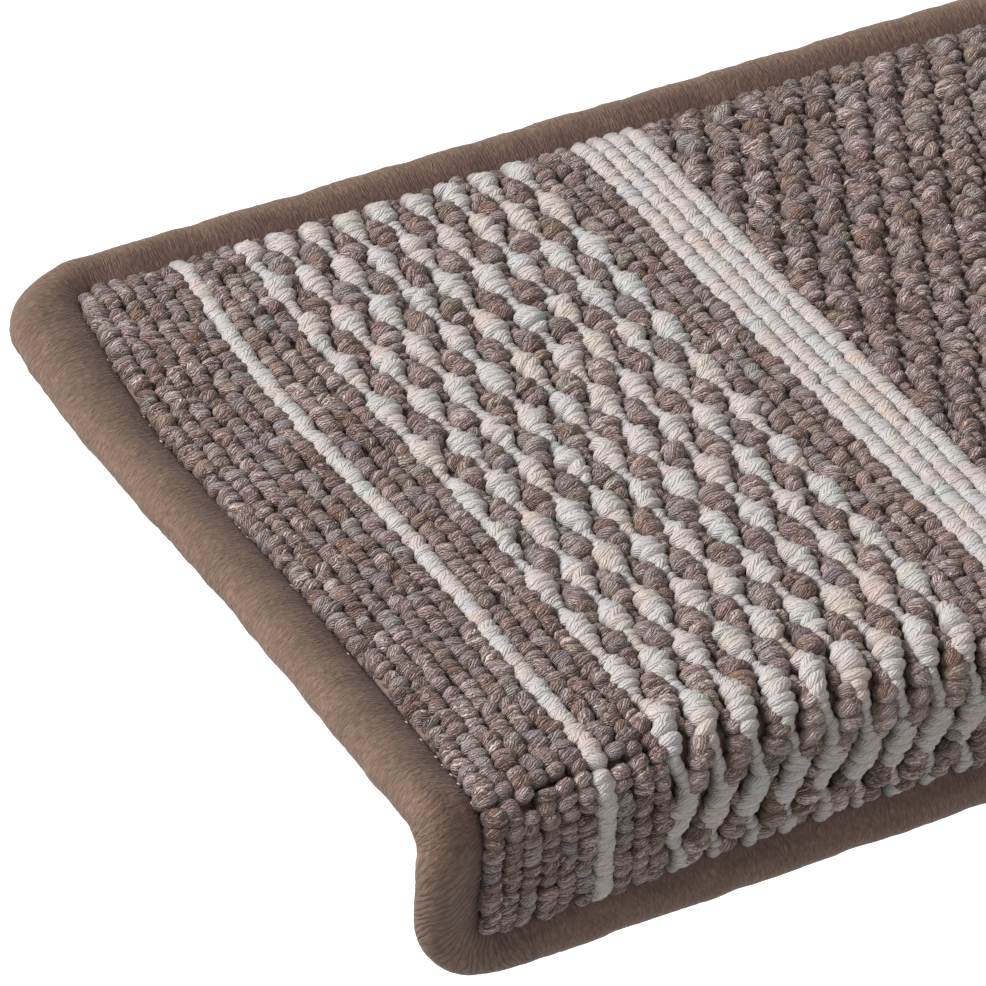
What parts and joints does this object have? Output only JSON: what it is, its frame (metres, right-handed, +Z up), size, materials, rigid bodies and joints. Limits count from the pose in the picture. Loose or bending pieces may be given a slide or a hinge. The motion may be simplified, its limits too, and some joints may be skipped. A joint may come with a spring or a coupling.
{
  "type": "stair tread mat",
  "caption": "Anti-slip stair tread mat: striped loop pile with a wound yarn edge, bent over the step's front edge by a nosing angle, with grip strips underneath.",
  "frame": {"origin": "middle of the front anti-slip strip's underside, where the mat lies on the step", "axes": "+X across the stair to the right, -Y towards the step's front edge, +Z up out of the pile"},
  "size_m": [0.65, 0.2356, 0.055],
  "materials": {
    "pile_brown": "heathered looped yarn",
    "pile_light": "off-white looped yarn",
    "binding_yarn": "closely wound yarn with a soft sheen",
    "backing_felt": "needled felt",
    "angle_plastic": "satin",
    "grip_rubber": "matt grip tape"
  },
  "bodies": {
    "root": {"backing": "backing_felt", "edge_binding": "binding_yarn", "nosing_angle": "angle_plastic", "front_anti_slip_strip": "grip_rubber", "rear_anti_slip_strip": "grip_rubber", "left_edge_rows": "pile_brown", "left_light_line": "pile_light", "left_outer_rows": "pile_brown", "left_light_bubbles_1": "pile_light", "left_dark_bubbles_1": "pile_brown", "left_light_bubbles_2": "pile_light", "left_dark_bubbles_2": "pile_brown", "left_light_bubbles_3": "pile_light", "left_dark_bubbles_3": "pile_brown", "left_light_bubbles_4": "pile_light", "left_dark_bubbles_4": "pile_brown", "left_light_bubbles_5": "pile_light", "left_dark_bubbles_5": "pile_brown", "left_light_bubbles_6": "pile_light", "left_dark_bubbles_6": "pile_brown", "left_light_bubbles_7": "pile_light", "left_dark_bubbles_7": "pile_brown", "left_light_bubbles_8": "pile_light", "left_dark_bubbles_8": "pile_brown", "left_light_bubbles_9": "pile_light", "left_inner_rows": "pile_brown", "left_light_band": "pile_light", "right_edge_rows": "pile_brown", "right_light_line": "pile_light", "right_outer_rows": "pile_brown", "right_light_bubbles_1": "pile_light", "right_dark_bubbles_1": "pile_brown", "right_light_bubbles_2": "pile_light", "right_dark_bubbles_2": "pile_brown", "right_light_bubbles_3": "pile_light", "right_dark_bubbles_3": "pile_brown", "right_light_bubbles_4": "pile_light", "right_dark_bubbles_4": "pile_brown", "right_light_bubbles_5": "pile_light", "right_dark_bubbles_5": "pile_brown", "right_light_bubbles_6": "pile_light", "right_dark_bubbles_6": "pile_brown", "right_light_bubbles_7": "pile_light", "right_dark_bubbles_7": "pile_brown", "right_light_bubbles_8": "pile_light", "right_dark_bubbles_8": "pile_brown", "right_light_bubbles_9": "pile_light", "right_inner_rows": "pile_brown", "right_light_band": "pile_light", "middle_rows": "pile_brown"}
  },
  "joints": []
}
